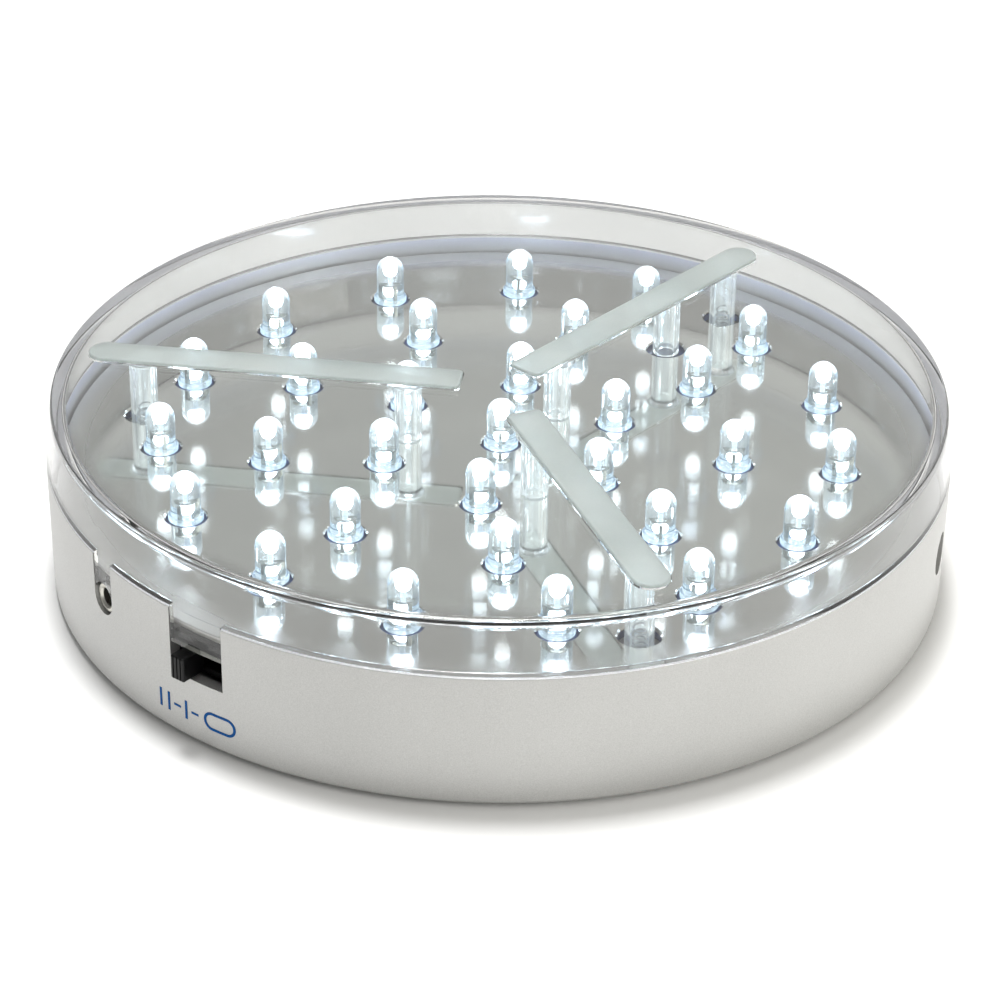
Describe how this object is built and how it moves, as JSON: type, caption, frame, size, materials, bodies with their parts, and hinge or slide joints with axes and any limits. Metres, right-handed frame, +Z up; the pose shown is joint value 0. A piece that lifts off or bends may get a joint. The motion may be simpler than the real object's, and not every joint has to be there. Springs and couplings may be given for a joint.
{
  "type": "led light display stand",
  "caption": "Round battery lit display stand: silver cup, mirror plate with white lamps, clear lid with frosted grip strips, slide switch and battery door.",
  "frame": {"origin": "centre of the stand on the surface that its feet stand on", "axes": "+Z up through the lid, -Y towards the front, with the switch at the front left"},
  "size_m": [0.153, 0.153, 0.0342],
  "materials": {
    "housing_silver": "satin silver paint on moulded plastic",
    "clear_plastic": "clear, polished",
    "mirror_plate": "mirror coated",
    "board_blue": "dark blue solder resist",
    "lamp_epoxy": "water-clear epoxy, emissive cool white",
    "frosted_strip": "frosted, translucent",
    "screw_steel": "zinc plated",
    "black_plastic": "moulded black",
    "jack_plastic": "moulded black",
    "contact_nickel": "nickel plated spring steel",
    "cell_jacket": "printed film over the can, left plain",
    "red_sheath": "soft vinyl",
    "black_sheath": "soft vinyl",
    "foot_rubber": "matt"
  },
  "bodies": {
    "stand": {"housing": "housing_silver", "clear_lid": "clear_plastic", "reflector_plate": "mirror_plate", "led_board": "board_blue", "led_01": "lamp_epoxy", "led_02": "lamp_epoxy", "led_03": "lamp_epoxy", "led_04": "lamp_epoxy", "led_05": "lamp_epoxy", "led_06": "lamp_epoxy", "led_07": "lamp_epoxy", "led_08": "lamp_epoxy", "led_09": "lamp_epoxy", "led_10": "lamp_epoxy", "led_11": "lamp_epoxy", "led_12": "lamp_epoxy", "led_13": "lamp_epoxy", "led_14": "lamp_epoxy", "led_15": "lamp_epoxy", "led_16": "lamp_epoxy", "led_17": "lamp_epoxy", "led_18": "lamp_epoxy", "led_19": "lamp_epoxy", "led_20": "lamp_epoxy", "led_21": "lamp_epoxy", "led_22": "lamp_epoxy", "led_23": "lamp_epoxy", "led_24": "lamp_epoxy", "led_25": "lamp_epoxy", "led_26": "lamp_epoxy", "led_27": "lamp_epoxy", "led_28": "lamp_epoxy", "led_29": "lamp_epoxy", "led_30": "lamp_epoxy", "led_31": "lamp_epoxy", "grip_strip_1": "frosted_strip", "grip_strip_2": "frosted_strip", "grip_strip_3": "frosted_strip", "lid_screw_1": "screw_steel", "lid_screw_2": "screw_steel", "lid_screw_3": "screw_steel", "switch_body": "black_plastic", "left_jack": "jack_plastic", "right_jack": "jack_plastic", "aa_cell_1": "cell_jacket", "aa_cell_2": "cell_jacket", "aa_cell_3": "cell_jacket", "contact_plus": "contact_nickel", "contact_bridge_left": "contact_nickel", "contact_bridge_right": "contact_nickel", "contact_minus": "contact_nickel", "lead_red": "red_sheath", "lead_black": "black_sheath", "foot_1": "foot_rubber", "foot_2": "foot_rubber", "foot_3": "foot_rubber", "foot_4": "foot_rubber"},
    "switch_knob": {"switch_knob": "black_plastic"},
    "battery_door": {"battery_door": "housing_silver"}
  },
  "joints": [
    {"name": "switch_slide", "type": "slide", "parent": "stand", "child": "switch_knob", "axis": [0.7891, -0.6143, 0], "range_m": [0, 0.004]},
    {"name": "door_hinge", "type": "hinge", "parent": "stand", "child": "battery_door", "pos_m": [0, -0.0231, 0.0008], "axis": [-1, 0, 0], "range_deg": [0, 85]}
  ]
}
